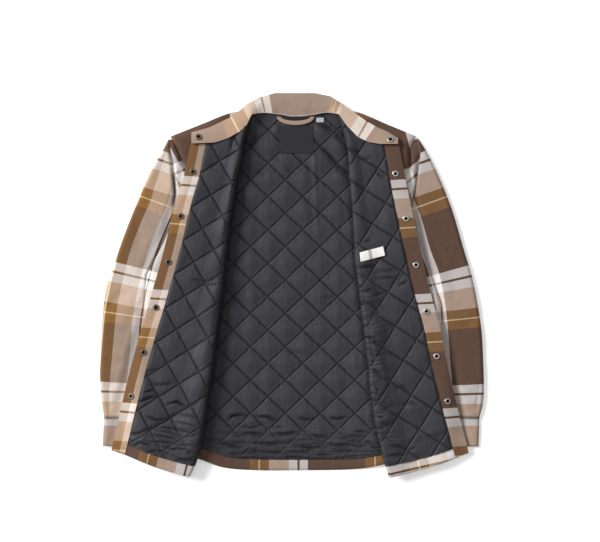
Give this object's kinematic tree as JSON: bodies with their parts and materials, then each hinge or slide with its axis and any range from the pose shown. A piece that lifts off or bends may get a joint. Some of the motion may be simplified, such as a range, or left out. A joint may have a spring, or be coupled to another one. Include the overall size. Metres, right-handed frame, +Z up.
{
  "type": "open quilted shirt-jacket laid flat",
  "caption": "Plaid flannel shirt-jacket laid open on its back, its quilted fronts folded back like lapels over the sleeves, with a band collar and snaps.",
  "frame": {"origin": "on the floor under the middle of the garment's plan box", "axes": "+X to the wearer's left, +Y from hem to collar, +Z up, out of the open front"},
  "size_m": [0.804, 0.804, 0.03],
  "materials": {
    "flannel": "soft brushed twill, plaid of brown, tan, gold and cream",
    "flannel_sleeve": "soft brushed twill, plaid of tan, brown, gold and cream",
    "flannel_facing": "soft brushed twill, plaid of brown, gold and cream",
    "flannel_collar": "soft brushed twill, tan with gold, beige and cream bars",
    "flannel_welt": "soft brushed twill, cream with a fine dark line",
    "quilted_lining": "charcoal nylon, satin, quilted in diamonds",
    "dark_tape": "smooth dark woven tape",
    "pale_tape": "smooth pale woven tape",
    "snap_metal": "satin silver ring with a dark hollow"
  },
  "bodies": {
    "root": {"back": "flannel", "back_lining": "quilted_lining", "front_right": "flannel", "lining_right": "quilted_lining", "facing_right": "flannel_facing", "sleeve_right": "flannel_sleeve", "cuff_right": "flannel_sleeve", "front_left": "flannel", "lining_left": "quilted_lining", "facing_left": "flannel_facing", "sleeve_left": "flannel_sleeve", "cuff_left": "flannel_sleeve", "collar": "flannel_collar", "neck_tape": "dark_tape", "neck_label": "dark_tape", "size_tab": "pale_tape", "hanging_loop": "flannel_facing", "pocket_welt": "flannel_welt", "snap_right_0": "snap_metal", "snap_right_1": "snap_metal", "snap_right_2": "snap_metal", "snap_right_3": "snap_metal", "snap_right_4": "snap_metal", "snap_right_5": "snap_metal", "snap_right_6": "snap_metal", "snap_left_0": "snap_metal", "snap_left_1": "snap_metal", "snap_left_2": "snap_metal", "snap_left_3": "snap_metal", "snap_left_4": "snap_metal", "snap_left_5": "snap_metal", "snap_left_6": "snap_metal"}
  },
  "joints": []
}
